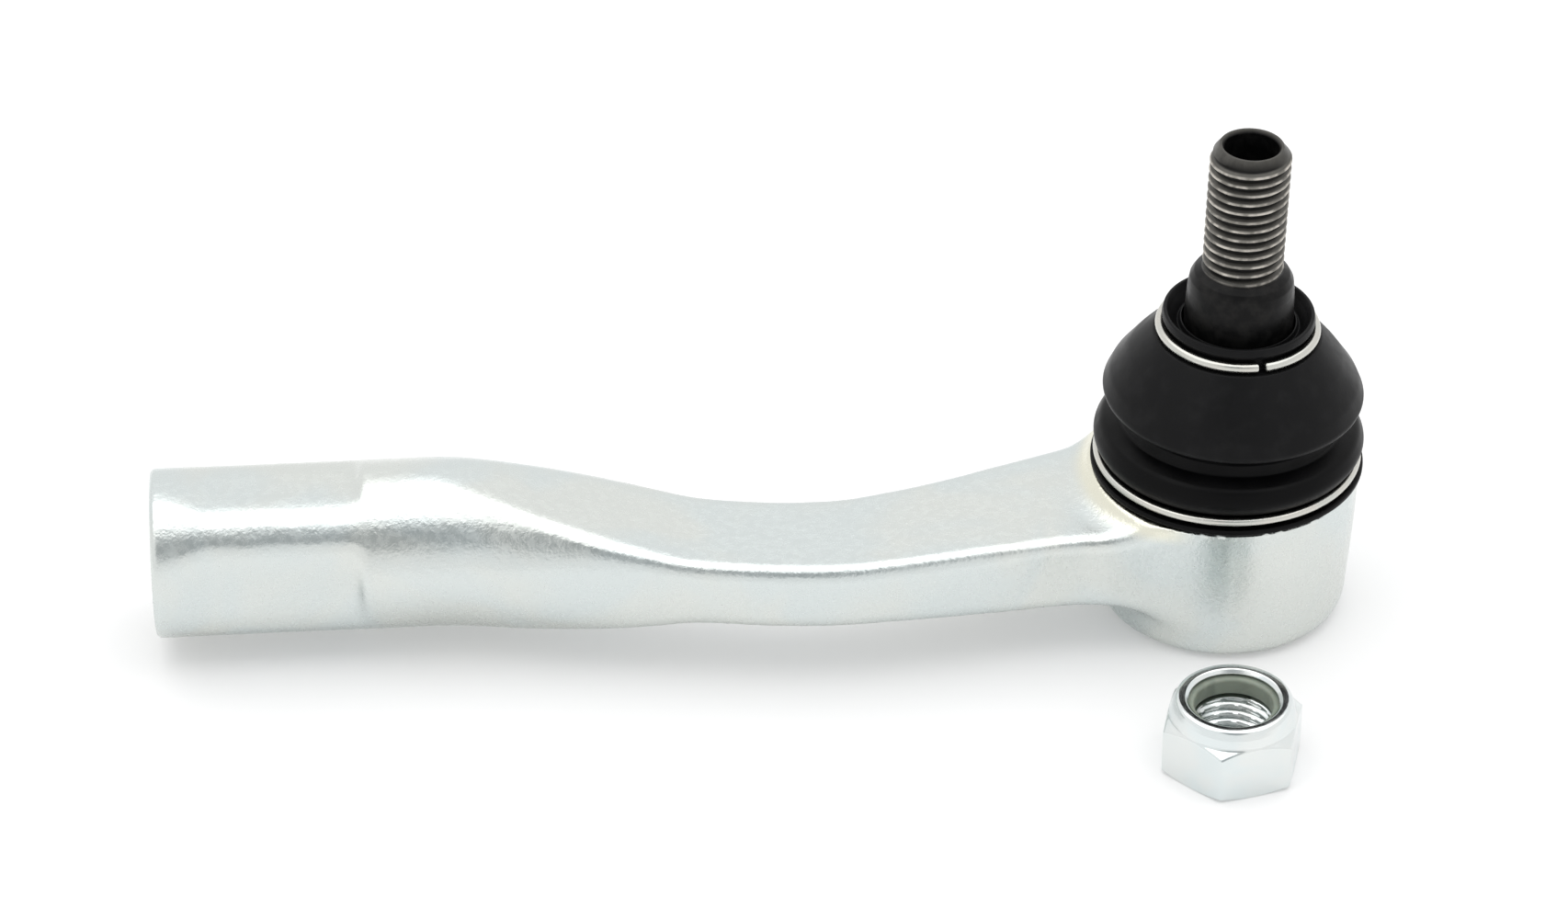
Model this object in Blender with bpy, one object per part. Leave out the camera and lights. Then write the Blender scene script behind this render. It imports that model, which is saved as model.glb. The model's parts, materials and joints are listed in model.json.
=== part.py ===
"""Outer tie rod end: a forged arm with a ball housing, a ball stud in a two-part bearing, a clamped rubber boot
and the stud's self-locking nut.

Metres, +Z up out of the housing's mouth. The origin is the centre of the housing's base, and the internally
threaded shank lies along -X. The stud rests leaning a little towards +X. Threads are plain cylinders here: the stud at its major diameter, the
nut and the shank at their minor diameters.
"""

from math import acos, cos, pi, radians, sin, sqrt

import bmesh
import bpy
from mathutils import Matrix, Vector

MM = 0.001
GAP = 0.3 * MM          # between neighbours that touch on the real part

# Ball housing
BALL_Z = 14.9 * MM      # height of the ball's centre and of the shank's axis
TOP_Z = 23.4 * MM       # machined face that the boot sits on
WALL_TOP_R = 19.5 * MM
WALL_LOW_R = 18.4 * MM  # the forging drafts in towards its base
BASE_R = 16.6 * MM      # flat ring that the housing stands on
CAVITY_R = 14.0 * MM
CAVITY_TOP_Z = 21.3 * MM
MOUTH_R = 10.4 * MM
REGISTER_R = 16.4 * MM  # raised ring that the boot's bead grips
REGISTER_IN_R = 13.2 * MM
REGISTER_Z = 25.5 * MM
COVER_SEAT_R = 15.2 * MM
COVER_SEAT_Z = 2.3 * MM
ROLLED_LIP_R = 13.6 * MM
ROLLED_LIP_Z = 0.6 * MM

# Arm and shank
SHANK_END_X = -157.6 * MM
SHANK_R = 12.4 * MM
SHANK_CHAMFER = 0.6 * MM
FLATS_X = (-149.5 * MM, -127.3 * MM)
FLATS_FADE = 7.0 * MM   # the flats run out towards the end of the shank over this length
FLATS_R = 10.74 * MM    # half the distance across the wrench flats
BLEND_X = -114.0 * MM   # where the round shank starts to flatten into the arm
BORE_R = 6.2 * MM       # minor radius of the M14 x 1.5 thread
BORE_MOUTH_R = 7.2 * MM
BORE_DEPTH = 58.0 * MM

# Ball stud
BALL_R = 10.5 * MM
BALL_FLAT_Z = 5.0 * MM
NECK_R = 6.0 * MM
BODY_R = 7.95 * MM      # cone that seats in the steering arm
BODY_LOW_Z = 43.4 * MM
BODY_TOP_R = 7.7 * MM
BODY_TOP_Z = 54.0 * MM
THREAD_R = 5.87 * MM    # M12 x 1.5
THREAD_LOW_Z = 57.0 * MM
STUD_TOP_Z = 77.6 * MM
RECESS_R = 3.95 * MM
RECESS_DEPTH = 9.0 * MM
LEAN = radians(1.3)     # of the stud at rest, about +Y

# Bearing, spring and cover
SEAT_R = CAVITY_R - GAP
SEAT_BALL_R = BALL_R + GAP
SEAT_SPLIT_Z = 12.0 * MM
LOWER_SEAT_Z = 3.6 * MM
LOWER_SEAT_HOLE_R = 3.0 * MM
UPPER_SEAT_LIP_R = 9.25 * MM
SPRING_INNER = (4.0 * MM, 1.6 * MM)
SPRING_OUTER = (12.6 * MM, 2.7 * MM)
SPRING_THICK = 0.6 * MM
COVER_THICK = 1.1 * MM
COVER_BOSS_R = 9.4 * MM

# Boot and its two wire rings
LIP_R = 11.1 * MM
LIP_TOP_Z = 49.7 * MM
SLEEVE_TOP_Z = 48.3 * MM        # soft sleeve that seals on the stud
UPPER_RING_R = 11.3 * MM
UPPER_RING_Z = 47.0 * MM
UPPER_WIRE_R = 0.72 * MM
RING_SPLIT = 1.1 * MM           # gap between the ends of the upper ring
RING_SPLIT_DEG = -80.5
LOWER_RING_R = 19.0 * MM
LOWER_RING_Z = 25.5 * MM
LOWER_WIRE_R = 0.65 * MM
CONE_TOP = (12.2 * MM, 46.1 * MM)
CONE_LOW = (17.2 * MM, 39.2 * MM)
RIM_R = 19.0 * MM
RIM_Z = 36.2 * MM
BULGE_R = 19.9 * MM
BULGE_Z = 28.4 * MM
FLANGE_R = 20.0 * MM
FLANGE_Z = 24.5 * MM
RUBBER = 1.4 * MM
LEAN_Z = (24.5 * MM, 34.0 * MM)     # the boot starts to lean, and leans fully, at these heights

# Lock nut, standing beside the housing
NUT_AT = (-4.0 * MM, -41.5 * MM)
NUT_CORNER_DEG = 13.5
NUT_FLATS = 18.5 * MM
NUT_HEIGHT = 11.0 * MM
NUT_HEX_Z = 7.2 * MM            # top of the hexagon's corners
NUT_COLLAR_R = 8.6 * MM
NUT_RIM_R = 6.45 * MM
NUT_BORE_R = 5.3 * MM
INSERT_R = 7.2 * MM
INSERT_BORE_R = 5.6 * MM
INSERT_Z = (7.4 * MM, 10.0 * MM)

AROUND_BIG = 48         # facets round the housing
AROUND = 40             # facets round the other turned pieces
AROUND_ARM = 36         # a multiple of 12, so that points fall on the ends of the wrench flats


def clear_scene():
    for obj in list(bpy.data.objects):
        bpy.data.objects.remove(obj, do_unlink=True)


def material(name, colour, roughness, metallic):
    made = bpy.data.materials.new(name)
    made.use_nodes = True
    shader = made.node_tree.nodes["Principled BSDF"]
    shader.inputs["Base Color"].default_value = (*colour, 1.0)
    shader.inputs["Roughness"].default_value = roughness
    shader.inputs["Metallic"].default_value = metallic
    made.diffuse_color = (*colour, 1.0)
    return made


def zinc_forging():
    return material("zinc_forging", (0.72, 0.75, 0.73), 0.38, 0.85)


def zinc_plate():
    return material("zinc_plate", (0.74, 0.77, 0.77), 0.22, 0.9)


def spring_steel():
    return material("spring_steel", (0.42, 0.42, 0.43), 0.35, 1.0)


def ring_wire():
    return material("ring_wire", (0.78, 0.77, 0.73), 0.25, 0.9)


def black_phosphate():
    return material("black_phosphate", (0.035, 0.035, 0.035), 0.5, 0.6)


def acetal():
    return material("acetal", (0.80, 0.79, 0.74), 0.4, 0.0)


def boot_rubber():
    return material("boot_rubber", (0.016, 0.016, 0.017), 0.45, 0.0)


def nylon():
    return material("nylon", (0.30, 0.36, 0.30), 0.4, 0.0)


def add_object(name, mesh, finish, at=(0, 0, 0)):
    obj = bpy.data.objects.new(name, mesh)
    bpy.context.scene.collection.objects.link(obj)
    obj.location = at
    if finish:
        mesh.materials.append(finish)
    return obj


def add_empty(name, at):
    empty = bpy.data.objects.new(name, None)
    bpy.context.scene.collection.objects.link(empty)
    empty.location = at
    empty.empty_display_size = 0.01
    return empty


def put_under(parent, obj):
    """Parents obj without moving it."""
    obj.parent = parent
    obj.matrix_parent_inverse = Matrix.Translation(-parent.location)


def arc(centre, radius, start, end, count):
    """Points (r, z) on an arc of a circle, or of an ellipse if radius is a pair, from start to end degrees."""
    wide, high = radius if isinstance(radius, tuple) else (radius, radius)
    turns = [radians(start + (end - start) * i / (count - 1)) for i in range(count)]
    return [(centre[0] + wide * cos(a), centre[1] + high * sin(a)) for a in turns]


def turned(name, outline, finish, facets=AROUND, at=(0, 0, 0)):
    """A turned piece. outline holds (r, z), down the outer side from the top; it closes on itself unless both
    of its ends are on the axis."""
    mesh = bpy.data.meshes.new(name)
    points = [(r, 0, z - at[2]) for r, z in outline]
    edges = [(i, i + 1) for i in range(len(points) - 1)]
    if outline[0][0] > 0:
        edges.append((len(points) - 1, 0))
    mesh.from_pydata(points, edges, [])
    obj = add_object(name, mesh, finish, at)
    screw = obj.modifiers.new("turn", "SCREW")
    screw.axis = "Z"
    screw.angle = 2 * pi
    screw.steps = facets
    screw.render_steps = facets
    screw.use_merge_vertices = True
    screw.merge_threshold = 0.00001
    screw.use_smooth_shade = True
    return obj


def cutter(obj):
    obj.hide_render = True
    obj.display_type = "WIRE"
    return obj


def boolean(obj, other, operation):
    made = obj.modifiers.new(f"{operation.lower()}_{other.name}", "BOOLEAN")
    made.operation = operation
    made.solver = "EXACT"
    made.object = cutter(other)


def eased(x, stations):
    """The value at x between (place, value) stations, easing in and out of each."""
    if x <= stations[0][0]:
        return stations[0][1]
    for (x0, v0), (x1, v1) in zip(stations, stations[1:]):
        if x <= x1:
            share = (x - x0) / (x1 - x0)
            return v0 + (v1 - v0) * share * share * (3 - 2 * share)
    return stations[-1][1]


def straight(x, stations):
    """The value at x on straight lines between (place, value) stations."""
    if x <= stations[0][0]:
        return stations[0][1]
    for (x0, v0), (x1, v1) in zip(stations, stations[1:]):
        if x <= x1:
            return v0 + (v1 - v0) * (x - x0) / (x1 - x0)
    return stations[-1][1]


# The arm in plan and in side view, as (x, value) in millimetres. The bar's edges are cut to ARM_ROUND's radius.
ARM_OFFSET = ((-114, 0), (-104, -2.2), (-84, -6.4), (-64, -9.6), (-58, -9.9), (-50, -8.9), (-20, -2.6), (-6, 0))
ARM_HALF_WIDTH = ((-106, 12.4), (-88, 11.0), (-76, 10.1), (-56, 10.1), (-38, 11.2), (-23, 12.7), (-15, 15.6), (-8, 16))
ARM_HALF_HEIGHT = ((-114, 12.4), (-80, 5.4), (-76, 5.25), (-54, 5.25), (-38, 5.8), (-22, 6.1), (-15, 6.9), (-8, 7.2))
ARM_ROUND = ((-110, 12.4), (-92, 11.6), (-76, 10.9), (-56, 11.1), (-38, 12.4), (-15, 17.0))


def arm_ring(x):
    """The arm's section at x: a round bar, cut to its width and height. Returns AROUND_ARM points."""
    across = eased(x / MM, ARM_HALF_WIDTH) * MM
    up = straight(x / MM, ARM_HALF_HEIGHT) * MM
    sideways = eased(x / MM, ARM_OFFSET) * MM
    limit = straight(x / MM, ARM_ROUND) * MM
    if x <= FLATS_X[1]:
        across = up = FLATS_R + (SHANK_R - FLATS_R) * max(0, FLATS_X[0] - x) / FLATS_FADE
    if x <= SHANK_END_X:
        limit = SHANK_R - SHANK_CHAMFER
    ring = []
    for i in range(AROUND_ARM):
        turn = 2 * pi * i / AROUND_ARM
        reach = min(limit, across / max(abs(cos(turn)), 1e-6), up / max(abs(sin(turn)), 1e-6))
        ring.append((x, sideways + reach * cos(turn), BALL_Z + reach * sin(turn)))
    return ring


def arm():
    """The round shank with its wrench flats, and the bent arm up to the housing, lofted through sections."""
    step = 1.0 * MM
    places = [SHANK_END_X, SHANK_END_X + SHANK_CHAMFER, FLATS_X[0] - FLATS_FADE / 2, *FLATS_X]
    places += [FLATS_X[1] + step, BLEND_X]
    places += [x * MM for x in range(-109, -73, 5)]
    places += [x * MM for x in range(-68, -22, 6)]
    places += [x * MM for x in (-20, -17, -15, -8)]
    shape = bmesh.new()
    rings = [[shape.verts.new(point) for point in arm_ring(x)] for x in places]
    for near, far in zip(rings, rings[1:]):
        for i in range(AROUND_ARM):
            after = (i + 1) % AROUND_ARM
            shape.faces.new((near[i], far[i], far[after], near[after]))
    shape.faces.new(rings[0])
    shape.faces.new(reversed(rings[-1]))
    bmesh.ops.recalc_face_normals(shape, faces=shape.faces)
    mesh = bpy.data.meshes.new("arm")
    shape.to_mesh(mesh)
    shape.free()
    return add_object("arm", mesh, None)


def shank_bore():
    """Blind hole along the shank, with a countersunk mouth and a drilled cone at its end."""
    outline = [
        (0, BORE_DEPTH + 3 * MM),
        (BORE_R, BORE_DEPTH),
        (BORE_R, BORE_MOUTH_R - BORE_R),
        (BORE_MOUTH_R, 0),
        (BORE_MOUTH_R, -2 * MM),
        (0, -2 * MM),
    ]
    bore = turned("shank_bore", outline, None, AROUND)
    bore.matrix_world = Matrix.Translation((SHANK_END_X, 0, BALL_Z)) @ Matrix.Rotation(pi / 2, 4, "Y")
    return bore


def housing():
    """The forging: ball housing, arm and shank in one piece, machined out for the bearing."""
    corner = 3.0 * MM
    low = [(WALL_LOW_R - corner + corner * cos(a), corner + corner * sin(a)) for a in (0, -pi / 6, -pi / 3)]
    outer = [
        (0, TOP_Z),
        (REGISTER_IN_R, TOP_Z),
        (REGISTER_IN_R, REGISTER_Z),
        (REGISTER_R, REGISTER_Z),
        (REGISTER_R, TOP_Z),
        (WALL_TOP_R - 0.3 * MM, TOP_Z),
        (WALL_TOP_R, TOP_Z - 0.3 * MM),
        (WALL_TOP_R - 0.3 * MM, 15.0 * MM),
        *low,
        (BASE_R - 1.2 * MM, 0),
        (0, 0),
    ]
    body = turned("housing", outer, zinc_forging(), AROUND_BIG)
    past = 2 * MM
    hollow = [
        (0, REGISTER_Z + past),
        (MOUTH_R, REGISTER_Z + past),
        (MOUTH_R, CAVITY_TOP_Z),
        (CAVITY_R, CAVITY_TOP_Z),
        (CAVITY_R, COVER_SEAT_Z),
        (COVER_SEAT_R, COVER_SEAT_Z),
        (COVER_SEAT_R, ROLLED_LIP_Z),
        (ROLLED_LIP_R, ROLLED_LIP_Z),
        (ROLLED_LIP_R, -past),
        (0, -past),
    ]
    boolean(body, arm(), "UNION")
    boolean(body, turned("hollow", hollow, None, AROUND_BIG), "DIFFERENCE")
    boolean(body, shank_bore(), "DIFFERENCE")
    return body


def end_cover():
    """Pressed steel disc under the bearing, held by the housing's rolled lip. Its boss stands on the floor."""
    edge = COVER_SEAT_R - GAP
    low = ROLLED_LIP_Z + GAP
    step = low
    outline = [
        (0, COVER_THICK),
        (COVER_BOSS_R - 0.5 * MM, COVER_THICK),
        (COVER_BOSS_R - 0.5 * MM + step, COVER_THICK + step),
        (edge, COVER_THICK + step),
        (edge, low),
        (COVER_BOSS_R + step, low),
        (COVER_BOSS_R, 0),
        (0, 0),
    ]
    return turned("end_cover", outline, zinc_plate())


def preload_spring():
    """Disc spring that pushes the bearing up against the ball."""
    (inner_r, inner_z), (outer_r, outer_z) = SPRING_INNER, SPRING_OUTER
    outline = [
        (outer_r, outer_z + SPRING_THICK),
        (outer_r, outer_z),
        (inner_r, inner_z),
        (inner_r, inner_z + SPRING_THICK),
    ]
    return turned("preload_spring", outline, spring_steel())


def ball_angle(radius, sphere):
    """Degrees above the equator at which a sphere about the ball's centre narrows to this radius."""
    return acos(radius / sphere) * 180 / pi


def lower_seat():
    """Lower half of the plastic bearing, with a grease hole in its floor."""
    split = SEAT_SPLIT_Z
    depth = (BALL_Z - split) / SEAT_BALL_R
    start = -acos(sqrt(1 - depth**2)) * 180 / pi
    bowl = arc((0, BALL_Z), SEAT_BALL_R, -ball_angle(LOWER_SEAT_HOLE_R, SEAT_BALL_R), start, 7)
    outline = [(SEAT_R, split), (SEAT_R, LOWER_SEAT_Z), (LOWER_SEAT_HOLE_R, LOWER_SEAT_Z), *bowl]
    return turned("lower_seat", outline, acetal())


def upper_seat():
    """Upper half of the plastic bearing, whose mouth holds the ball in."""
    split = SEAT_SPLIT_Z + GAP
    start = -acos(sqrt(1 - ((BALL_Z - split) / SEAT_BALL_R) ** 2)) * 180 / pi
    bowl = arc((0, BALL_Z), SEAT_BALL_R, start, ball_angle(UPPER_SEAT_LIP_R, SEAT_BALL_R), 7)
    top = CAVITY_TOP_Z - GAP
    outline = [(SEAT_R, top), (SEAT_R, split), *bowl, (UPPER_SEAT_LIP_R + 0.5 * MM, top)]
    return turned("upper_seat", outline, acetal())


def ball_stud(pivot):
    """Ball, neck, seating cone and threaded end in one forging, with a round recess in the end."""
    lowest = -ball_angle(sqrt(BALL_R**2 - (BALL_Z - BALL_FLAT_Z) ** 2), BALL_R)
    ball = arc((0, BALL_Z), BALL_R, ball_angle(NECK_R, BALL_R), lowest, 12)
    outline = [
        (0, STUD_TOP_Z - RECESS_DEPTH - 2 * MM),
        (RECESS_R, STUD_TOP_Z - RECESS_DEPTH),
        (RECESS_R, STUD_TOP_Z - 0.4 * MM),
        (RECESS_R + 0.4 * MM, STUD_TOP_Z),
        (THREAD_R - 1.3 * MM, STUD_TOP_Z),
        (THREAD_R, STUD_TOP_Z - 1.5 * MM),
        (THREAD_R, THREAD_LOW_Z),
        (6.9 * MM, 56.4 * MM),
        (7.5 * MM, 55.4 * MM),
        (BODY_TOP_R, BODY_TOP_Z),
        (BODY_R, 49.5 * MM),
        (BODY_R, BODY_LOW_Z),
        (NECK_R, BODY_LOW_Z - 4 * MM),
        *ball,
        (0, BALL_FLAT_Z),
    ]
    stud = turned("ball_stud", outline, black_phosphate(), AROUND, pivot.location)
    put_under(pivot, stud)
    return stud


def lean(obj):
    """Turns obj's modifiers into its mesh, and tips the mesh with the stud where it is above LEAN_Z."""
    graph = bpy.context.evaluated_depsgraph_get()
    mesh = bpy.data.meshes.new_from_object(obj.evaluated_get(graph))
    obj.modifiers.clear()
    obj.data = mesh
    centre = Vector((0, 0, BALL_Z))
    low, high = LEAN_Z
    for vertex in mesh.vertices:
        share = min(max((vertex.co.z - low) / (high - low), 0), 1)
        tipped = Matrix.Rotation(LEAN * share, 3, "Y") @ (vertex.co - centre)
        vertex.co = centre + tipped
    return obj


def dust_boot():
    """Rubber boot with two folds: a dished lip and a sleeve round the stud, and a bead round the housing's
    raised ring."""
    neck_r = UPPER_RING_R - UPPER_WIRE_R - GAP
    neck_z = (UPPER_RING_Z + UPPER_WIRE_R + GAP, CONE_TOP[1] - 0.1 * MM)
    groove_r = LOWER_RING_R - LOWER_WIRE_R - GAP
    groove_z = LOWER_RING_Z + LOWER_WIRE_R + GAP
    stud_r = BODY_R + GAP
    bead_r = REGISTER_R + 0.4 * MM
    outside = [
        (LIP_R - 0.2 * MM, LIP_TOP_Z),
        (LIP_R, LIP_TOP_Z - 0.3 * MM),
        (neck_r + 0.3 * MM, neck_z[0]),
        (neck_r, neck_z[0] - 0.1 * MM),
        (neck_r, neck_z[1]),
        CONE_TOP,
        CONE_LOW,
        (18.3 * MM, 37.9 * MM),
        (18.8 * MM, 37.3 * MM),
        (RIM_R, RIM_Z),
        (18.9 * MM, 35.6 * MM),
        (17.2 * MM, 34.4 * MM),
        (16.4 * MM, 33.4 * MM),
        (16.5 * MM, 31.9 * MM),
        (18.3 * MM, 30.8 * MM),
        (19.3 * MM, 29.8 * MM),
        (BULGE_R, BULGE_Z),
        (19.3 * MM, 27.1 * MM),
        (groove_r + 0.6 * MM, groove_z),
        (groove_r, groove_z - 0.1 * MM),
        (groove_r, FLANGE_Z + 0.1 * MM),
        (FLANGE_R - 0.2 * MM, FLANGE_Z),
        (FLANGE_R, FLANGE_Z - 0.2 * MM),
        (FLANGE_R, TOP_Z + GAP),
    ]
    inside = [
        (bead_r, TOP_Z + GAP),
        (bead_r, 26.2 * MM),
        (BULGE_R - RUBBER, BULGE_Z),
        (17.1 * MM, 30.0 * MM),
        (15.1 * MM, 31.4 * MM),
        (15.0 * MM, 34.2 * MM),
        (17.3 * MM, 36.1 * MM),
        (CONE_LOW[0] - 1.3 * MM, CONE_LOW[1] - 0.9 * MM),
        (CONE_TOP[0] - 1.2 * MM, CONE_TOP[1] - 1.4 * MM),
        (stud_r + 0.4 * MM, CONE_TOP[1] - 1.6 * MM),
        (stud_r, CONE_TOP[1] - 1.2 * MM),
        (stud_r, SLEEVE_TOP_Z),
        (stud_r + 0.25 * MM, SLEEVE_TOP_Z),
        (stud_r + 0.5 * MM, SLEEVE_TOP_Z - 0.9 * MM),
        (LIP_R - 1.2 * MM, LIP_TOP_Z - 0.9 * MM),
        (LIP_R - 0.6 * MM, LIP_TOP_Z),
    ]
    return lean(turned("dust_boot", outside + inside, boot_rubber()))


def lower_clamp_ring():
    """Closed wire ring round the boot's bead."""
    wire = arc((LOWER_RING_R, LOWER_RING_Z), LOWER_WIRE_R, 90, -225, 8)
    return turned("lower_clamp_ring", wire, ring_wire())


def upper_clamp_ring(pivot):
    """Split wire ring in the groove under the boot's lip."""
    half_split = RING_SPLIT / 2 / UPPER_RING_R
    start = radians(RING_SPLIT_DEG) + half_split
    sweep = 2 * pi - 2 * half_split
    curve = bpy.data.curves.new("upper_clamp_ring", "CURVE")
    curve.dimensions = "3D"
    curve.bevel_depth = UPPER_WIRE_R
    curve.bevel_resolution = 2
    curve.use_fill_caps = True
    spline = curve.splines.new("POLY")
    spline.points.add(AROUND)
    for i, point in enumerate(spline.points):
        turn = start + sweep * i / AROUND
        height = UPPER_RING_Z - pivot.location.z
        point.co = (UPPER_RING_R * cos(turn), UPPER_RING_R * sin(turn), height, 1)
    curve.materials.append(ring_wire())
    ring = bpy.data.objects.new("upper_clamp_ring", curve)
    bpy.context.scene.collection.objects.link(ring)
    ring.location = pivot.location
    put_under(pivot, ring)
    return ring


def lock_nut(pivot):
    """Hexagon nut with a rolled collar: a turned blank, cut to six flats below the collar."""
    corner_r = NUT_FLATS / sqrt(3)
    flats_r = NUT_FLATS / 2
    blank = [
        (NUT_RIM_R, NUT_HEIGHT - 0.5 * MM),
        (NUT_RIM_R + 0.6 * MM, NUT_HEIGHT),
        (NUT_COLLAR_R - 0.5 * MM, NUT_HEIGHT),
        (NUT_COLLAR_R, NUT_HEIGHT - 0.7 * MM),
        (flats_r - 0.15 * MM, NUT_HEX_Z + 1.2 * MM),
        (flats_r, NUT_HEX_Z + 0.8 * MM),
        (corner_r + 0.1 * MM, NUT_HEX_Z),
        (corner_r + 0.1 * MM, 0.6 * MM),
        (corner_r - 1.0 * MM, 0),
        (NUT_BORE_R + 0.7 * MM, 0),
        (NUT_BORE_R, 0.7 * MM),
        (NUT_BORE_R, INSERT_Z[0] - GAP),
        (INSERT_R + GAP, INSERT_Z[0] - GAP),
        (INSERT_R + GAP, INSERT_Z[1] + GAP),
        (NUT_RIM_R, INSERT_Z[1] + GAP),
    ]
    nut = turned("lock_nut", blank, zinc_plate(), AROUND_BIG, pivot.location)
    mesh = bpy.data.meshes.new("hexagon")
    shape = bmesh.new()
    tall = 4 * NUT_HEIGHT
    bmesh.ops.create_cone(
        shape, segments=6, radius1=corner_r, radius2=corner_r, depth=tall, cap_ends=True
    )
    shape.to_mesh(mesh)
    shape.free()
    hexagon = add_object("hexagon", mesh, None, pivot.location)
    hexagon.rotation_euler.z = radians(NUT_CORNER_DEG - 90)    # its first corner is made on +Y
    boolean(nut, hexagon, "INTERSECT")
    put_under(pivot, nut)
    return nut


def nut_insert(pivot):
    """Nylon ring inside the nut's collar."""
    low, high = INSERT_Z
    outline = [
        (INSERT_R, high),
        (INSERT_R, low),
        (INSERT_BORE_R + 0.3 * MM, low),
        (INSERT_BORE_R, low + 0.3 * MM),
        (INSERT_BORE_R, high - 0.4 * MM),
        (INSERT_BORE_R + 0.5 * MM, high),
    ]
    insert = turned("nut_insert", outline, nylon(), AROUND, pivot.location)
    put_under(pivot, insert)
    return insert


def build():
    clear_scene()
    ball_centre = add_empty("ball_centre", Vector((0, 0, BALL_Z)))
    ball_centre.rotation_euler.y = LEAN
    nut_base = add_empty("nut_base", Vector((*NUT_AT, 0)))
    housing()
    end_cover()
    preload_spring()
    lower_seat()
    upper_seat()
    ball_stud(ball_centre)
    dust_boot()
    lower_clamp_ring()
    upper_clamp_ring(ball_centre)
    lock_nut(nut_base)
    nut_insert(nut_base)


build()
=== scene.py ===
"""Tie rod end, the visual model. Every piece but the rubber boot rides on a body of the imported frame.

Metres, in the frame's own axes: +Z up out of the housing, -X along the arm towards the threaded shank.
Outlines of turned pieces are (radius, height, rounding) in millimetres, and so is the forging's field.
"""

import json
from math import acos, ceil, cos, pi, radians, sin, sqrt, tan

import bmesh
import bpy
import numpy as np
from mathutils import Matrix, Vector


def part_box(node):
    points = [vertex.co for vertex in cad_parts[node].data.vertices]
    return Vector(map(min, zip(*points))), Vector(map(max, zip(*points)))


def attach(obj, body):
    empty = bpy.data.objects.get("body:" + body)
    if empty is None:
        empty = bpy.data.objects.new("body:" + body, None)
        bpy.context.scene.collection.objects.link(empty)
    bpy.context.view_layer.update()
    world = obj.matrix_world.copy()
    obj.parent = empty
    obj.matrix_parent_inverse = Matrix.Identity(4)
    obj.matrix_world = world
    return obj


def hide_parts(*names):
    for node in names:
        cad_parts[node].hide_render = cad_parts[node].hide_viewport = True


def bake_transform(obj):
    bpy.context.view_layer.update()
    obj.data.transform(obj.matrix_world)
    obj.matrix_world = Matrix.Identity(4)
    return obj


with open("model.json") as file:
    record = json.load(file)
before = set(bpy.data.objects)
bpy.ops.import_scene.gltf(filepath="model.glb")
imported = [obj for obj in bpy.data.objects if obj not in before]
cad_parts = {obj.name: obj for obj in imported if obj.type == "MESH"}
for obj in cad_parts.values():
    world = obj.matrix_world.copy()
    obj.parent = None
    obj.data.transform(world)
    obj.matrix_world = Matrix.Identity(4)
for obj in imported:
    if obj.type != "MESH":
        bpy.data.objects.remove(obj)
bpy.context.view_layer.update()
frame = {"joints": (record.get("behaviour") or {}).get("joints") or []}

MM = 0.001
GAP = 0.3                       # mm, between neighbours that touch on the real part


def millimetres(node):
    """Lowest and highest corners of a CAD node, in millimetres."""
    low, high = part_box(node)
    return Vector(low) / MM, Vector(high) / MM


# Places that come from the frame, in millimetres
HOUSING_LOW, HOUSING_HIGH = millimetres("housing")
NUT_LOW, NUT_HIGH = millimetres("lock_nut")
LOWER_RING_LOW, LOWER_RING_HIGH = millimetres("lower_clamp_ring")
SHANK_END = HOUSING_LOW.x
NUT_AT = ((NUT_LOW + NUT_HIGH) / 2).xy
NUT_HEIGHT = NUT_HIGH.z
REGISTER_TOP = HOUSING_HIGH.z   # raised ring inside the boot's bead

# Housing
BALL_Z = 14.9
TOP_Z = 23.4
WALL_TOP_R = 19.5
WALL_LOW_R = 18.4
CAVITY_R = 14.0
CAVITY_TOP_Z = 21.3
MOUTH_R = 10.4
REGISTER_R = 16.4
REGISTER_IN_R = 13.2
COVER_SEAT_R = 15.2
COVER_SEAT_Z = 2.3
ROLLED_LIP_R = 13.6
ROLLED_LIP_Z = 0.6

# Arm and shank
SHANK_R = 12.4
FLATS_X = (-149.5, -127.3)
FLATS_FADE = 7.0
FLATS_R = 10.74
BORE_R = 6.2                    # minor radius of the M14 x 1.5 thread
BORE_MOUTH_R = 7.2
BORE_DEPTH = 58.0
# The arm's centre line, half width, half height, bar radius and edge rounding, as (x, value) stations
ARM_OFFSET = ((-122, 0), (-114, -0.1), (-104, -2.1), (-84, -6.4), (-64, -9.7), (-57, -9.8), (-50, -8.9),
              (-20, -2.6), (-6, 0))
ARM_WIDTH = ((-120, 14.0), (-106, 12.5), (-88, 11.0), (-76, 10.1), (-56, 10.1), (-38, 11.2), (-23, 12.7),
             (-15, 14.6), (-8, 15))
ARM_HEIGHT = ((-122, 14.0), (-114, 12.4), (-80, 5.4), (-76, 5.25), (-54, 5.25), (-38, 5.8), (-22, 6.1),
              (-15, 6.6), (-8, 6.8))
ARM_ROUND = ((-112, 12.4), (-92, 11.7), (-76, 11.0), (-56, 11.2), (-38, 12.6), (-15, 18.0))
ARM_EDGE = ((-122, 0.5), (-100, 1.2), (-80, 2.2), (-40, 2.3), (-20, 2.5))

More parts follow.
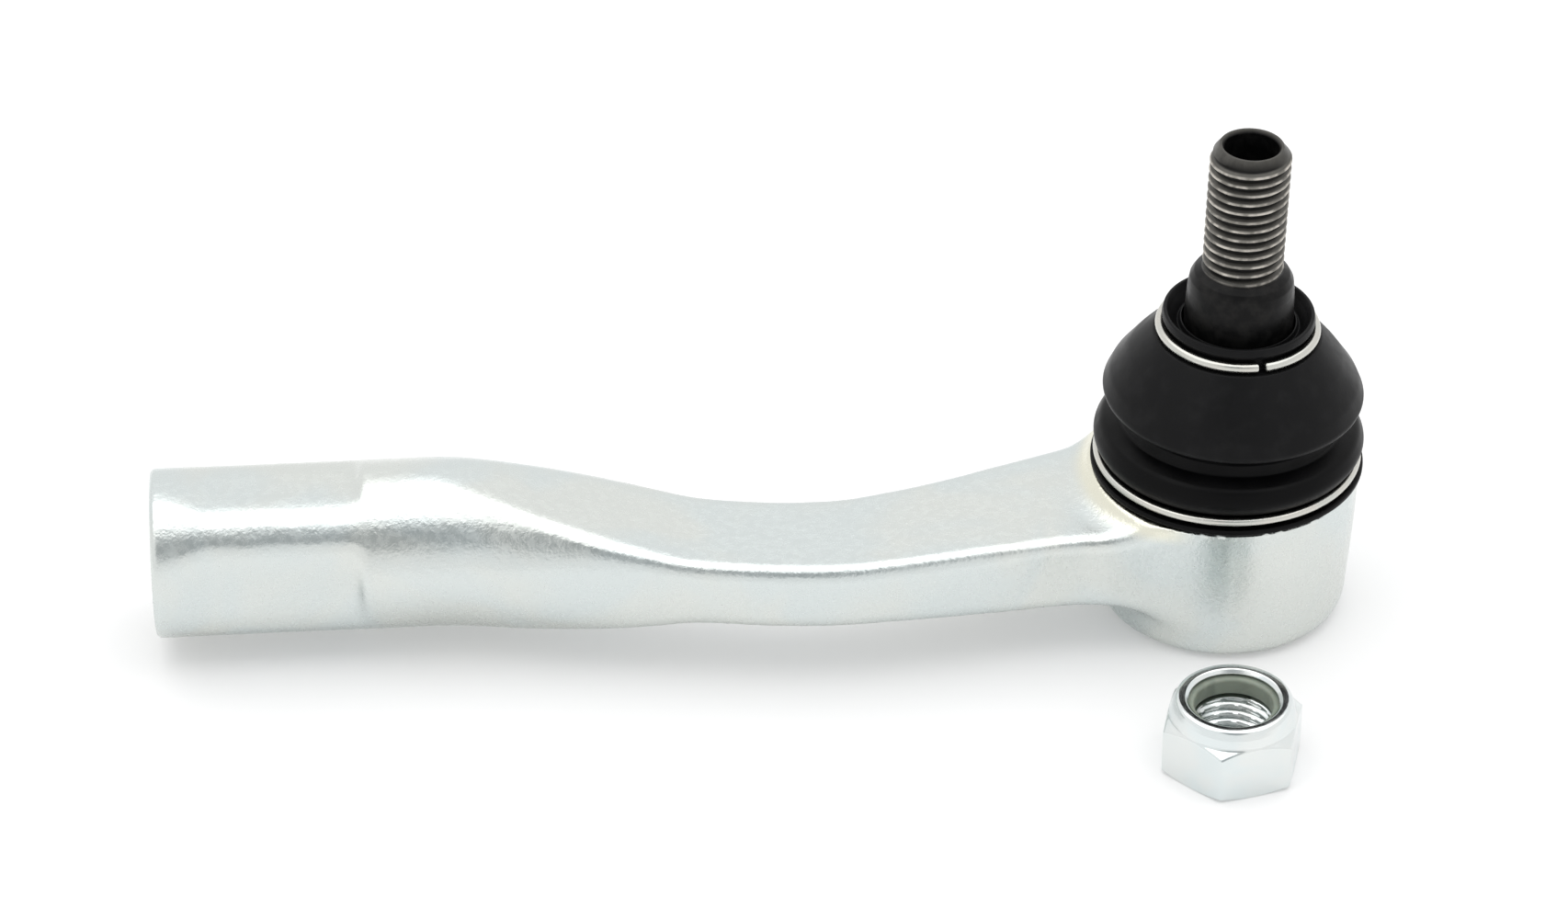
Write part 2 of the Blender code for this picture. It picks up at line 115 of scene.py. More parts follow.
# Ball stud
BALL_R = 10.5
BALL_FLAT_Z = 5.0
NECK_R = 6.0
BODY_R = 7.95
BODY_LOW_Z = 43.4
BODY_TOP_R = 7.7
BODY_TOP_Z = 54.0
STUD_TOP = 77.6
THREAD_R = 5.87
THREAD_LOW_Z = 57.0
THREAD_PITCH = 1.5              # of every thread here
STUD_THREAD_DEPTH = 0.86
END_CHAMFER = 1.5
RECESS_R = 3.95
RECESS_DEPTH = 9.0
SPIN_AXIS = next(Vector(joint["axis"]) for joint in frame["joints"] if joint["name"] == "stud_spin")
LEAN = SPIN_AXIS.angle((0, 0, 1))       # the stud leans towards +X at rest
LEAN_Z = (24.5, 34.0)           # the boot starts to lean with the stud, and leans fully, at these heights

# Boot and rings
LOWER_WIRE_R = (LOWER_RING_HIGH.z - LOWER_RING_LOW.z) / 2
LOWER_RING_Z = (LOWER_RING_HIGH.z + LOWER_RING_LOW.z) / 2
LOWER_RING_R = LOWER_RING_HIGH.x - LOWER_WIRE_R
UPPER_WIRE_R = 0.72
UPPER_RING_Z = 47.0
UPPER_RING_R = 11.3
RING_SPLIT = 1.1
RING_SPLIT_DEG = -80.5

# Lock nut
NUT_FLATS = 18.5
NUT_CORNER_DEG = 13.5
NUT_OUTSIDE_R = 7.9             # everything further out is held in to the flats
NUT_BORE_R = 5.3
INSERT_R = 7.2
INSERT_BORE_R = 5.6
INSERT_Z = (7.4, 10.0)

CELL = 0.5                      # mm, grid that the forging's skin is drawn on


# ---- node trees ----


def put(tree, socket, value):
    """Links value to socket if it is another node's output, and sets it otherwise."""
    if isinstance(value, bpy.types.NodeSocket):
        tree.links.new(value, socket)
    else:
        socket.default_value = value


def maths(tree, operation, *values):
    node = tree.nodes.new("ShaderNodeMath")
    node.operation = operation
    for socket, value in zip(node.inputs, values):
        put(tree, socket, value)
    return node.outputs[0]


def ramp(tree, value, low, high, to_low=0.0, to_high=1.0, shape="SMOOTHSTEP"):
    """value eased from to_low at low to to_high at high."""
    node = tree.nodes.new("ShaderNodeMapRange")
    node.interpolation_type = shape
    names = ("Value", "From Min", "From Max", "To Min", "To Max")
    for name, setting in zip(names, (value, low, high, to_low, to_high)):
        put(tree, node.inputs[name], setting)
    return node.outputs["Result"]


THREAD_INPUTS = ("Pitch", "Depth", "Low", "High", "Run-out")


def thread_tree():
    """Cuts a right-handed thread into the points whose "threaded" attribute is 1, round the Z axis. Depth is
    outwards, so a bolt's is negative. It leaves thread_zone, 1 where the thread is at its full depth, and
    thread_groove, 0 on a crest and 1 at a root."""
    tree = bpy.data.node_groups.new("thread", "GeometryNodeTree")
    face = tree.interface
    face.new_socket("Blank", in_out="INPUT", socket_type="NodeSocketGeometry")
    for name in THREAD_INPUTS:
        face.new_socket(name, in_out="INPUT", socket_type="NodeSocketFloat")
    face.new_socket("Finish", in_out="INPUT", socket_type="NodeSocketMaterial")
    face.new_socket("Threaded", in_out="OUTPUT", socket_type="NodeSocketGeometry")
    given = tree.nodes.new("NodeGroupInput").outputs
    place = tree.nodes.new("GeometryNodeInputPosition").outputs[0]
    apart = tree.nodes.new("ShaderNodeSeparateXYZ")
    tree.links.new(place, apart.inputs[0])
    x, y, z = apart.outputs
    turn = maths(tree, "DIVIDE", maths(tree, "ARCTAN2", y, x), 2 * pi)
    phase = maths(tree, "FRACT", maths(tree, "SUBTRACT", maths(tree, "DIVIDE", z, given["Pitch"]), turn))
    ridge = maths(tree, "ABSOLUTE", maths(tree, "SUBTRACT", maths(tree, "MULTIPLY", phase, 2.0), 1.0))
    groove = ramp(tree, ridge, 0.14, 0.84, shape="LINEAR")
    starts = ramp(tree, z, given["Low"], maths(tree, "ADD", given["Low"], given["Run-out"]))
    ends = ramp(tree, z, maths(tree, "SUBTRACT", given["High"], given["Run-out"]), given["High"], 1.0, 0.0)
    marked = tree.nodes.new("GeometryNodeInputNamedAttribute")
    marked.data_type = "FLOAT"
    marked.inputs["Name"].default_value = "threaded"
    zone = maths(tree, "MULTIPLY", maths(tree, "MULTIPLY", starts, ends), marked.outputs[0])
    depth = maths(tree, "MULTIPLY", maths(tree, "MULTIPLY", groove, given["Depth"]), zone)
    flat = tree.nodes.new("ShaderNodeCombineXYZ")
    tree.links.new(x, flat.inputs["X"])
    tree.links.new(y, flat.inputs["Y"])
    outwards = tree.nodes.new("ShaderNodeVectorMath")
    outwards.operation = "NORMALIZE"
    tree.links.new(flat.outputs[0], outwards.inputs[0])
    offset = tree.nodes.new("ShaderNodeVectorMath")
    offset.operation = "SCALE"
    tree.links.new(outwards.outputs[0], offset.inputs[0])
    tree.links.new(depth, offset.inputs["Scale"])
    cut = tree.nodes.new("GeometryNodeSetPosition")
    tree.links.new(given["Blank"], cut.inputs["Geometry"])
    tree.links.new(offset.outputs[0], cut.inputs["Offset"])
    shaped = cut.outputs[0]
    for name, value in (("thread_zone", zone), ("thread_groove", groove)):
        kept = tree.nodes.new("GeometryNodeStoreNamedAttribute")
        kept.inputs["Name"].default_value = name
        tree.links.new(shaped, kept.inputs["Geometry"])
        tree.links.new(value, kept.inputs["Value"])
        shaped = kept.outputs[0]
    realized = tree.nodes.new("GeometryNodeRealizeInstances")
    tree.links.new(shaped, realized.inputs[0])
    finished = tree.nodes.new("GeometryNodeSetMaterial")
    tree.links.new(realized.outputs[0], finished.inputs["Geometry"])
    tree.links.new(given["Finish"], finished.inputs["Material"])
    tree.links.new(finished.outputs[0], tree.nodes.new("NodeGroupOutput").inputs[0])
    return tree


THREAD = thread_tree()


def evaluated_mesh(piece):
    """Turns the piece's modifiers into its plain mesh."""
    graph = bpy.context.evaluated_depsgraph_get()
    made = bpy.data.meshes.new_from_object(piece.evaluated_get(graph))
    piece.modifiers.clear()
    piece.data = made
    return piece


def cut_thread(piece, finish, pitch, depth, low, high, run_out):
    """Threads a turned blank that still stands on the Z axis. Sizes in millimetres."""
    modifier = piece.modifiers.new("thread", "NODES")
    modifier.node_group = THREAD
    sockets = {item.name: item.identifier for item in THREAD.interface.items_tree}
    for name, size in zip(THREAD_INPUTS, (pitch, depth, low, high, run_out)):
        modifier[sockets[name]] = size * MM
    modifier[sockets["Finish"]] = finish
    return evaluated_mesh(piece)


# ---- finishes ----


def new_finish(name, metallic, specular=0.5):
    made = bpy.data.materials.new(name)
    made.use_nodes = True
    tree = made.node_tree
    shader = tree.nodes["Principled BSDF"]
    shader.inputs["Metallic"].default_value = metallic
    shader.inputs["Specular IOR Level"].default_value = specular
    where = tree.nodes.new("ShaderNodeTexCoord").outputs["Object"]
    return made, tree, shader, where


def noise(tree, where, size, detail=3.0, distortion=0.0):
    """Noise whose features are about size millimetres across."""
    node = tree.nodes.new("ShaderNodeTexNoise")
    node.inputs["Scale"].default_value = 1 / (size * MM)
    node.inputs["Detail"].default_value = detail
    node.inputs["Distortion"].default_value = distortion
    put(tree, node.inputs["Vector"], where)
    return node.outputs[0]


def mix(tree, share, first, second):
    node = tree.nodes.new("ShaderNodeMix")
    node.data_type = "RGBA"
    put(tree, node.inputs["Factor"], share)
    for socket, colour in zip((node.inputs[6], node.inputs[7]), (first, second)):
        put(tree, socket, (*colour, 1.0) if isinstance(colour, tuple) else colour)
    return node.outputs[2]


def bump(tree, shader, *layers):
    """Stacks (height, depth in millimetres) layers on the shader's normal."""
    normal = None
    for height, depth in layers:
        node = tree.nodes.new("ShaderNodeBump")
        node.inputs["Distance"].default_value = depth * MM
        put(tree, node.inputs["Height"], height)
        if normal:
            tree.links.new(normal, node.inputs["Normal"])
        normal = node.outputs[0]
    tree.links.new(normal, shader.inputs["Normal"])


def attribute(tree, name):
    node = tree.nodes.new("ShaderNodeAttribute")
    node.attribute_name = name
    return node.outputs["Fac"]


def edge_wear(tree):
    """1 on outward edges and 0 elsewhere."""
    pointed = tree.nodes.new("ShaderNodeNewGeometry").outputs["Pointiness"]
    return ramp(tree, pointed, 0.51, 0.56)


def radius_from_axis(tree, where):
    """Distance from the housing's axis, and x and z."""
    apart = tree.nodes.new("ShaderNodeSeparateXYZ")
    tree.links.new(where, apart.inputs[0])
    x, y, z = apart.outputs
    squares = maths(tree, "ADD", maths(tree, "MULTIPLY", x, x), maths(tree, "MULTIPLY", y, y))
    return maths(tree, "SQRT", squares), x, z


def forged_zinc():
    """Shot-blasted forging, zinc plated and clear passivated, with faint blue and straw tints. A
    straw-coloured painted highlight lies on the machined lip round the boot, on the arm's side."""
    made, tree, shader, where = new_finish("forged_zinc_finish", 1.0)
    tint = ramp(tree, noise(tree, where, 17.0, 2.0, 0.6), 0.38, 0.62)
    colour = mix(tree, tint, (0.640, 0.685, 0.678), (0.668, 0.692, 0.664))
    radius, x, z = radius_from_axis(tree, where)
    # Mask of the straw-coloured painted highlight on the lip, on the arm's side.
    inner, outer = ramp(tree, radius, 0.0180, 0.0195), ramp(tree, radius, 0.0235, 0.0210)
    lip_painted_highlight = maths(tree, "MULTIPLY", inner, outer)
    lip_painted_highlight = maths(tree, "MULTIPLY", lip_painted_highlight, ramp(tree, z, 0.0205, 0.0225))
    lip_painted_highlight = maths(tree, "MULTIPLY", lip_painted_highlight, ramp(tree, x, -0.006, -0.012))
    colour = mix(tree, maths(tree, "MULTIPLY", lip_painted_highlight, 0.7), colour, (0.80, 0.77, 0.62))
    put(tree, shader.inputs["Base Color"], colour)
    put(tree, shader.inputs["Roughness"], ramp(tree, noise(tree, where, 1.2), 0.3, 0.7, 0.21, 0.31))
    swell = noise(tree, where, 5.0, 2.0)
    pits = noise(tree, where, 0.9, 2.0)
    grain = noise(tree, where, 0.38, 3.0)
    bump(tree, shader, (swell, 0.012), (pits, 0.045), (grain, 0.032))
    return made


def plated_metal(name, colour, roughness, grain):
    """Smooth metal, a little cooler than colour in patches. grain is its finest marks' depth in mm."""
    made, tree, shader, where = new_finish(name, 1.0)
    tint = ramp(tree, noise(tree, where, 6.0, 3.0, 0.5), 0.35, 0.65)
    cooler = tuple(c * f for c, f in zip(colour, (0.95, 0.985, 1.0)))
    put(tree, shader.inputs["Base Color"], mix(tree, tint, colour, cooler))
    smear = noise(tree, where, 2.0, 4.0)
    put(tree, shader.inputs["Roughness"], ramp(tree, smear, 0.3, 0.7, roughness * 0.8, roughness * 1.25))
    bump(tree, shader, (noise(tree, where, 2.2, 2.0), grain * 4), (noise(tree, where, 0.25, 2.0), grain))
    return made


def black_phosphate():
    """Dark phosphated steel: matt and finely crystalline, worn to bare steel on edges and thread crests."""
    made, tree, shader, where = new_finish("black_phosphate_finish", 0.6, 0.2)
    mottle = ramp(tree, noise(tree, where, 1.8, 4.0), 0.35, 0.7)
    colour = mix(tree, mottle, (0.0070, 0.0070, 0.0072), (0.0160, 0.0155, 0.0150))
    worn = maths(tree, "MULTIPLY", edge_wear(tree), ramp(tree, noise(tree, where, 0.8), 0.35, 0.6, 0.1, 0.5))
    colour = mix(tree, worn, colour, (0.20, 0.19, 0.175))
    oily = mix(tree, noise(tree, where, 1.5, 3.0), (0.060, 0.058, 0.052), (0.120, 0.115, 0.105))
    patchy = ramp(tree, noise(tree, where, 1.8, 4.0), 0.38, 0.66)
    bare = mix(tree, patchy, (0.20, 0.19, 0.17), (0.60, 0.565, 0.51))
    groove = attribute(tree, "thread_groove")
    sides = mix(tree, ramp(tree, groove, 0.55, 0.95), oily, (0.012, 0.0115, 0.011))
    turns = mix(tree, ramp(tree, groove, 0.34, 0.0), sides, bare)
    colour = mix(tree, attribute(tree, "thread_zone"), colour, turns)
    colour = mix(tree, maths(tree, "MULTIPLY", attribute(tree, "worn_end"), 0.8), colour, oily)
    put(tree, shader.inputs["Base Color"], colour)
    put(tree, shader.inputs["Roughness"], ramp(tree, mottle, 0.0, 1.0, 0.34, 0.46))
    bump(tree, shader, (noise(tree, where, 0.7, 3.0), 0.015), (noise(tree, where, 0.15, 2.0), 0.004))
    return made


def boot_rubber():
    """Moulded black rubber, satin, with fine mould texture and a little dust, and painted shade
    that makes it blacker below the fold.
    """
    made, tree, shader, where = new_finish("boot_rubber_finish", 0.0, 0.10)
    dust = ramp(tree, noise(tree, where, 3.0, 5.0), 0.45, 0.8)
    colour = mix(tree, dust, (0.0060, 0.0060, 0.0064), (0.0095, 0.0095, 0.0100))
    # Painted shade: below the fold the rubber is darkened to near black.
    _, _, height = radius_from_axis(tree, where)
    colour = mix(tree, ramp(tree, height, 0.0365, 0.0330), colour, (0.0012, 0.0012, 0.0014))
    put(tree, shader.inputs["Base Color"], colour)
    put(tree, shader.inputs["Roughness"], ramp(tree, noise(tree, where, 5.0, 3.0), 0.3, 0.7, 0.30, 0.44))
    bump(tree, shader, (noise(tree, where, 6.0, 2.0), 0.05), (noise(tree, where, 0.35, 3.0), 0.012))
    return made


def plastic(name, light, dark, roughness):
    """Machined or moulded bearing plastic, with faint flow marks."""
    made, tree, shader, where = new_finish(name, 0.0)
    cloud = ramp(tree, noise(tree, where, 3.5, 4.0, 0.8), 0.35, 0.65)
    put(tree, shader.inputs["Base Color"], mix(tree, cloud, light, dark))
    smear = noise(tree, where, 1.0)
    put(tree, shader.inputs["Roughness"], ramp(tree, smear, 0.3, 0.7, roughness, roughness + 0.12))
    shader.inputs["Subsurface Weight"].default_value = 0.08
    shader.inputs["Subsurface Scale"].default_value = 0.001
    bump(tree, shader, (noise(tree, where, 1.5, 3.0), 0.02), (noise(tree, where, 0.2, 2.0), 0.004))
    return made


FORGED_ZINC = forged_zinc()
PRESSED_ZINC = plated_metal("pressed_zinc_finish", (0.70, 0.73, 0.72), 0.30, 0.010)
NUT_ZINC = plated_metal("nut_zinc_finish", (0.75, 0.775, 0.764), 0.15, 0.006)
RING_WIRE = plated_metal("ring_wire_finish", (0.60, 0.585, 0.54), 0.24, 0.008)
SPRING_STEEL = plated_metal("spring_steel_finish", (0.30, 0.29, 0.29), 0.34, 0.006)
PHOSPHATE = black_phosphate()
RUBBER = boot_rubber()
ACETAL = plastic("acetal_finish", (0.74, 0.72, 0.66), (0.68, 0.66, 0.60), 0.34)
NYLON = plastic("nylon_finish", (0.25, 0.285, 0.23), (0.19, 0.22, 0.18), 0.36)


# ---- pieces ----


def add_piece(name, mesh, finish):
    mesh.materials.clear()
    mesh.materials.append(finish)
    piece = bpy.data.objects.new(name, mesh)
    bpy.context.scene.collection.objects.link(piece)
    return piece


def finish_piece(piece, body, node):
    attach(piece, body)
    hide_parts(node)


def shade(piece, crease=38):
    """Smooth shading, with the edges that turn by more than crease degrees left sharp."""
    shape = bmesh.new()
    shape.from_mesh(piece.data)
    for face in shape.faces:
        face.smooth = True
    for edge in shape.edges:
        edge.smooth = len(edge.link_faces) == 2 and edge.calc_face_angle(0) < radians(crease)
    shape.to_mesh(piece.data)
    shape.free()
    return piece


def rounded(outline, closed=True):
    """(r, z, rounding) corners made into (r, z) points, with each corner rounded by a short curve."""
    points = [Vector(corner[:2]) for corner in outline]
    sizes = [corner[2] if len(corner) > 2 else 0 for corner in outline]
    made = []
    for i, (point, size) in enumerate(zip(points, sizes)):
        at_end = not closed and i in (0, len(points) - 1)
        if at_end or not size:
            made.append(point)
            continue
        before, after = points[i - 1] - point, points[(i + 1) % len(points)] - point
        turn = pi - before.angle(after, pi)
        reach = min(size * tan(min(turn, 3.0) / 2), 0.49 * before.length, 0.49 * after.length)
        first, last = point + before.normalized() * reach, point + after.normalized() * reach
        steps = max(2, ceil(turn / radians(11)))
        for step in range(steps + 1):
            share = step / steps
            made.append(first * (1 - share) ** 2 + point * (2 * share * (1 - share)) + last * share**2)
    return [(point.x, point.y) for point in made]


def with_rows(points, low, high, step):
    """Adds points to the stretches of an outline between the heights low and high, step apart or less."""
    made = []
    for here, after in zip(points, points[1:] + points[:1]):
        made.append(here)
        rise = after[1] - here[1]
        inside = low - 1e-6 <= min(here[1], after[1]) and max(here[1], after[1]) <= high + 1e-6
        if inside and abs(rise) > step:
            count = ceil(abs(rise) / step)
            for i in range(1, count):
                made.append((here[0] + (after[0] - here[0]) * i / count, here[1] + rise * i / count))
    return made


def turned(name, points, finish, around=96, threaded=None):
    """A turned piece from its outline in millimetres. threaded is the (radius, low, high) of its thread."""
    shape = bmesh.new()
    rings = []
    for r, z in points:
        if r < 1e-6:
            rings.append([shape.verts.new((0, 0, z * MM))] * around)
            continue
        turns = [2 * pi * i / around for i in range(around)]
        rings.append([shape.verts.new((r * cos(a) * MM, r * sin(a) * MM, z * MM)) for a in turns])
    pairs = list(zip(rings, rings[1:]))
    if points[0][0] > 1e-6:
        pairs.append((rings[-1], rings[0]))
    for near, far in pairs:
        for i in range(around):
            after = (i + 1) % around
            corners = list(dict.fromkeys((near[i], near[after], far[after], far[i])))
            if len(corners) > 2:
                shape.faces.new(corners)
    bmesh.ops.recalc_face_normals(shape, faces=shape.faces)
    mesh = bpy.data.meshes.new(name)
    shape.to_mesh(mesh)
    shape.free()
    if threaded:
        radius, low, high = (size * MM for size in threaded)
        marks = mesh.attributes.new("threaded", "FLOAT", "POINT")
        for vertex, mark in zip(mesh.vertices, marks.data):
            on_wall = abs(vertex.co.xy.length - radius) < 0.02 * MM
            mark.value = float(on_wall and low - 1e-7 <= vertex.co.z <= high + 1e-7)
    return shade(add_piece(name, mesh, finish))


def soft_max(first, second, blend):
    """The larger of two fields, rounded over where they meet."""
    near = np.maximum(blend - np.abs(first - second), 0) / blend
    return np.maximum(first, second) + near * near * blend / 4


def soft_min(first, second, blend):
    return -soft_max(-first, -second, blend)


def flowing(x, stations):
    """The value at x on a smooth curve through (place, value) stations, level at both ends."""
    places, values = np.array(stations, float).T
    slopes = np.gradient(values, places)
    slopes[0] = slopes[-1] = 0
    which = np.clip(np.searchsorted(places, x, side="right") - 1, 0, len(places) - 2)
    span = places[which + 1] - places[which]
    t = np.clip((x - places[which]) / span, 0, 1)
    start = (1 + 2 * t) * (1 - t) ** 2 * values[which] + t * (1 - t) ** 2 * span * slopes[which]
    return start + t * t * (3 - 2 * t) * values[which + 1] + t * t * (t - 1) * span * slopes[which + 1]


def eased_line(x, stations, ease):
    """The value at x on straight lines between stations, with their corners eased over ease on each side."""
    places, values = np.array(stations, float).T
    shifts = np.linspace(-ease, ease, 7)
    return sum(np.interp(x + shift, places, values) for shift in shifts) / len(shifts)


def skin(field, low, high):
    """Vertices and quads of the surface where field is zero. Each cell's vertex goes where the tangent
    planes of the crossings on its edges meet, which keeps edges crisp."""
    counts = np.ceil((high - low) / CELL).astype(int) + 1
    axes = [low[a] + CELL * np.arange(counts[a]) for a in range(3)]
    value = field(*np.meshgrid(*axes, indexing="ij"))
    strides = np.array((counts[1] * counts[2], counts[2], 1))
    cells, planes, quads = [], [], []
    for axis in range(3):
        lower = tuple(slice(None, -1) if a == axis else slice(None) for a in range(3))
        upper = tuple(slice(1, None) if a == axis else slice(None) for a in range(3))
        near, far = value[lower], value[upper]
        at = np.argwhere((near < 0) != (far < 0))
        near, far = near[tuple(at.T)], far[tuple(at.T)]
        step = np.eye(3)[axis] * CELL
        corner = low + CELL * at
        share = near / (near - far)
        for _ in range(3):
            middle = field(*(corner + share[:, None] * step).T)
            slope = (field(*(corner + (share[:, None] + 0.02) * step).T) - middle) / 0.02
            slope = np.where(np.abs(slope) < 1e-3, np.sign(far - near) * 1e-3, slope)
            share = np.clip(share - np.clip(middle / slope, -0.2, 0.2), 0, 1)
        point = corner + share[:, None] * step
        reach = np.eye(3) * 0.02
        normal = np.stack([field(*(point + e).T) - field(*(point - e).T) for e in reach], -1)
        normal /= np.linalg.norm(normal, axis=1, keepdims=True)
        second, third = np.eye(3, dtype=int)[(axis + 1) % 3], np.eye(3, dtype=int)[(axis + 2) % 3]
        around = [at - second - third, at - third, at, at - second]
        numbers = np.stack([corner_cell @ strides for corner_cell in around], -1)
        quads.append(np.where((near < 0)[:, None], numbers, numbers[:, ::-1]))
        for column in range(4):
            cells.append(numbers[:, column])
            planes.append(np.hstack([point, normal]))
    used, number = np.unique(np.concatenate(cells), return_inverse=True)
    planes = np.concatenate(planes)
    total = len(used)
    share = np.bincount(number, minlength=total)
    gather = lambda column: np.bincount(number, weights=column, minlength=total)
    middle = np.stack([gather(planes[:, a]) / share for a in range(3)], -1)
    point, normal = planes[:, :3], planes[:, 3:]
    offset = ((point - middle[number]) * normal).sum(1)
    matrix = np.empty((total, 3, 3))
    right = np.empty((total, 3))
    for a in range(3):
        right[:, a] = gather(normal[:, a] * offset)
        for b in range(3):
            matrix[:, a, b] = gather(normal[:, a] * normal[:, b])
    matrix += np.eye(3) * 0.06 * share[:, None, None]
    move = np.linalg.solve(matrix, right[:, :, None])[:, :, 0]
    vertices = middle + np.clip(move, -0.6 * CELL, 0.6 * CELL)
    return vertices, np.searchsorted(used, np.concatenate(quads))


def forging_field(x, y, z):
    """Distance-like field of the raw forging in millimetres, negative inside it."""
    sideways = y - flowing(x, ARM_OFFSET)
    up = z - BALL_Z
    edge = eased_line(x, ARM_EDGE, 3.0)
    across = np.abs(sideways) - flowing(x, ARM_WIDTH)
    above = np.abs(up) - eased_line(x, ARM_HEIGHT, 2.0)
    bar = np.hypot(sideways, up) - eased_line(x, ARM_ROUND, 3.0)
    arm = soft_max(soft_max(across, above, edge), bar, edge)
    flats = FLATS_R + (SHANK_R - FLATS_R) * np.clip((FLATS_X[0] - x) / FLATS_FADE, 0, 1)
    pressed = soft_max(x - FLATS_X[1], flats - np.maximum(np.abs(sideways), np.abs(up)), 2.0)
    arm = soft_max(arm, -pressed, 1.4)
    arm = soft_max(arm, SHANK_END + 0.03 - x, 1.1)
    arm = soft_max(arm, x + 6.0, 0.5)
    radius = np.hypot(x, y)
    wall = np.interp(z, (3.0, 15.0, TOP_Z - 0.3), (WALL_LOW_R, WALL_TOP_R - 0.3, WALL_TOP_R))
    cup = soft_max(radius - wall, -z, 3.6)
    body = soft_min(arm, cup, 5.5)
    along = 0.43 * x + 0.31 * y + 1.5 * np.sin(0.17 * x)
    dent = 0.016 * np.sin(along) * np.sin(0.37 * y + 0.5 * z + 1.3)
    along = 0.97 * x - 0.8 * z + 2.0 * np.sin(0.23 * x + 0.3 * y)
    dent += 0.006 * np.sin(along) * np.sin(0.91 * y + 0.37 * x)
    lid = z - TOP_Z - np.maximum(-30 - x, 0)        # the machined top, which lets go of the arm
    body = soft_max(body + dent, lid, 0.45)
    body = np.maximum(body, -z)
    register = np.abs(radius - (REGISTER_R + REGISTER_IN_R) / 2) - (REGISTER_R - REGISTER_IN_R) / 2
    register = np.maximum(register, np.maximum(z - REGISTER_TOP, TOP_Z - 2 - z))
    return np.minimum(body, register)


def bore_cutter():
    """Closed plug in the shape of the shank's hole: countersink, M14 x 1.5 thread, drilled end."""
    points = rounded([
        (0, BORE_DEPTH + 3.4),
        (BORE_R, BORE_DEPTH, 0),
        (BORE_R, 1.0, 0),
        (BORE_MOUTH_R, -0.02, 0),
        (BORE_MOUTH_R, -2.0, 0),
        (0, -2.0),
    ], closed=False)
    points = with_rows(points, 1.0, BORE_DEPTH, THREAD_PITCH / 8)
    plug = turned("bore_cutter", points, FORGED_ZINC, 72, threaded=(BORE_R, 1.0, BORE_DEPTH - 1))
    cut_thread(plug, FORGED_ZINC, THREAD_PITCH, 0.8, 1.0, BORE_DEPTH - 1.5, 0.8)
    mouth = Matrix.Translation((SHANK_END * MM, 0, BALL_Z * MM))
    plug.data.transform(mouth @ Matrix.Rotation(pi / 2, 4, "Y"))
    return plug


def hollow_cutter():
    """The machined inside of the housing, from the cover's seat up through the mouth."""
    points = rounded([
        (0, REGISTER_TOP + 2),
        (MOUTH_R + 0.8, REGISTER_TOP + 2, 0),
        (MOUTH_R + 0.8, REGISTER_TOP - 0.1, 0),
        (MOUTH_R, REGISTER_TOP - 0.9, 0),
        (MOUTH_R, CAVITY_TOP_Z, 0),
        (CAVITY_R, CAVITY_TOP_Z, 0.5),
        (CAVITY_R, COVER_SEAT_Z, 0),
        (COVER_SEAT_R, COVER_SEAT_Z, 0),
        (COVER_SEAT_R, ROLLED_LIP_Z, 0.3),
        (ROLLED_LIP_R + 0.25, ROLLED_LIP_Z, 0.2),
        (ROLLED_LIP_R + 0.2, -2.0, 0),
        (0, -2.0),
    ], closed=False)
    return turned("hollow_cutter", points, FORGED_ZINC, 128)


def make_forging():
    """Housing, arm and shank as one skin, with the machined hollow and the threaded bore cut out."""
    margin = 1.7
    low = np.array((SHANK_END - margin, -WALL_TOP_R - 1.3 * margin, -margin))
    high = np.array((WALL_TOP_R + margin, WALL_TOP_R + margin, REGISTER_TOP + margin))
    vertices, quads = skin(forging_field, low, high)
    vertices[:, 2] = np.maximum(vertices[:, 2], 0)
    mesh = bpy.data.meshes.new("forging")
    mesh.from_pydata((vertices * MM).tolist(), [], quads.tolist())
    piece = add_piece("forging", mesh, FORGED_ZINC)
    for tool in (hollow_cutter(), bore_cutter()):
        cut = piece.modifiers.new("cut", "BOOLEAN")
        cut.operation = "DIFFERENCE"
        cut.solver = "EXACT"
        cut.object = tool
        evaluated_mesh(piece)
        bpy.data.objects.remove(tool)
    finish_piece(shade(piece, 34), "housing", "housing")


def make_end_cover():
    """Pressed cover: a boss that stands on the floor, a stiffening ring and a rim above the rolled lip."""
    edge = COVER_SEAT_R - GAP
    low = ROLLED_LIP_Z + GAP
    thickness = 1.1
    points = rounded([
        (0, thickness),
        (8.6, thickness, 0.5),
        (9.6, thickness + low, 0.5),
        (edge, thickness + low, 0.2),
        (edge, low, 0.25),
        (10.4, low, 0.5),
        (9.4, 0, 0.8),
        (6.6, 0, 0.6),
        (6.0, 0.35, 0.5),
        (4.2, 0.35, 0.5),
        (3.6, 0, 0.6),
        (0, 0),
    ], closed=False)
    finish_piece(turned("pressed_cover", points, PRESSED_ZINC, 128), "housing", "end_cover")


def make_spring():
    """Conical disc spring that presses the bearing up against the ball."""
    points = rounded([(12.6, 3.25, 0.25), (12.6, 2.7, 0.2), (4.0, 1.62, 0.25), (4.0, 2.17, 0.2)])
    finish_piece(turned("disc_spring", points, SPRING_STEEL), "housing", "preload_spring")


def ball_arc(radius, start, end, count):
    """Points on a sphere about the ball's centre, from start to end degrees above its equator."""
    turns = [radians(start + (end - start) * i / (count - 1)) for i in range(count)]
    return [(radius * cos(a), BALL_Z + radius * sin(a)) for a in turns]


def degrees_at(radius, sphere):
    return acos(radius / sphere) * 180 / pi


